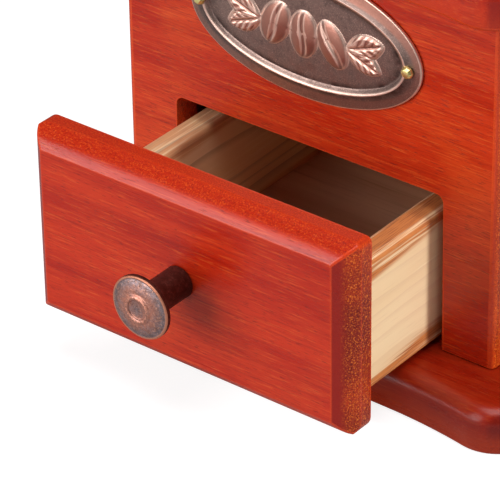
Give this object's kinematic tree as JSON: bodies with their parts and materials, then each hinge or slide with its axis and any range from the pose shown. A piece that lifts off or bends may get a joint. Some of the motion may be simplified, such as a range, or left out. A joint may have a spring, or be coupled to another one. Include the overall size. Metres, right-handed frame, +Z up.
{
  "type": "burr coffee grinder",
  "caption": "Hand-cranked box coffee mill: wooden box with a pull-out drawer and an oval plaque, a metal hopper bowl, and conical burrs turned by a crank with a wooden grip.",
  "frame": {"origin": "centre of the base board's underside", "axes": "+Z up, -Y is the front where the drawer pulls out, +X is the right as seen from the front"},
  "size_m": [0.1933, 0.1978, 0.2145],
  "materials": {
    "red_wood": "red-mahogany stain under a satin varnish",
    "pine": "planed, unfinished pine",
    "plywood": "unfinished plywood",
    "antique_copper": "antique copper plating, worn bright on the edges",
    "dark_copper": "dark antique copper plating, worn bright on the rim",
    "brass": "polished",
    "cast_iron": "as cast, with cut teeth",
    "steel": "zinc plated"
  },
  "bodies": {
    "mill_body": {"base_board": "red_wood", "top_board": "red_wood", "front_plank_lower": "red_wood", "front_plank_upper": "red_wood", "back_panel": "red_wood", "left_panel": "red_wood", "right_panel": "red_wood", "drawer_runner_left": "pine", "drawer_runner_right": "pine", "drawer_guide_left": "pine", "drawer_guide_right": "pine", "plaque": "antique_copper", "hopper_bowl": "antique_copper", "top_bridge": "antique_copper", "plaque_nail_left": "brass", "plaque_nail_right": "brass", "bridge_bush": "brass", "burr_housing": "cast_iron", "outer_burr": "cast_iron", "lower_bridge": "cast_iron", "base_screw_1": "steel", "base_screw_2": "steel", "base_screw_3": "steel", "base_screw_4": "steel", "hopper_bolt_1": "steel", "hopper_bolt_2": "steel", "hopper_bolt_3": "steel", "hopper_nut_1": "steel", "hopper_nut_2": "steel", "hopper_nut_3": "steel", "lower_bridge_screw_1": "steel", "lower_bridge_screw_2": "steel", "bridge_screw_front": "steel", "bridge_screw_back": "steel", "bridge_nut_front": "steel", "bridge_nut_back": "steel", "spring": "steel"},
    "drawer": {"drawer_front": "red_wood", "drawer_side_left": "pine", "drawer_side_right": "pine", "drawer_back": "pine", "drawer_bottom": "plywood", "drawer_knob": "dark_copper", "knob_screw": "steel"},
    "spring_seat": {"spring_seat": "steel"},
    "spindle": {"spindle": "steel", "inner_burr": "cast_iron", "burr_nut": "steel", "crank_arm": "antique_copper", "cap_nut": "brass", "grip_pin": "brass", "grip_washer": "brass"},
    "lock_washer": {"lock_washer": "steel"},
    "adjusting_nut": {"adjusting_nut": "brass"},
    "grip": {"grip": "red_wood"}
  },
  "joints": [
    {"name": "drawer_slide", "type": "slide", "parent": "mill_body", "child": "drawer", "axis": [0, -1, 0], "range_m": [-0.039, 0.041]},
    {"name": "burr_lift", "type": "slide", "parent": "mill_body", "child": "spring_seat", "axis": [0, 0, 1], "range_m": [-0.000399, 0.000399]},
    {"name": "crank_turn", "type": "hinge", "parent": "spring_seat", "child": "spindle", "pos_m": [0, 0, 0.15], "axis": [0, 0, 1], "continuous": true},
    {"name": "nut_travel", "type": "slide", "parent": "spindle", "child": "lock_washer", "axis": [0, 0, 1], "range_m": [-0.0004, 0.0004]},
    {"name": "grind_adjust", "type": "hinge", "parent": "lock_washer", "child": "adjusting_nut", "pos_m": [0, 0, 0.16], "axis": [0, 0, 1], "range_deg": [-115, 115]},
    {"name": "grip_spin", "type": "hinge", "parent": "spindle", "child": "grip", "pos_m": [0.105, 0, 0.19], "axis": [0, 0, 1], "continuous": true}
  ],
  "couplings": [
    {"joint": "grind_adjust", "follows": "burr_lift", "rad_per_m": -5026.5},
    {"joint": "nut_travel", "follows": "burr_lift", "ratio": -1}
  ]
}
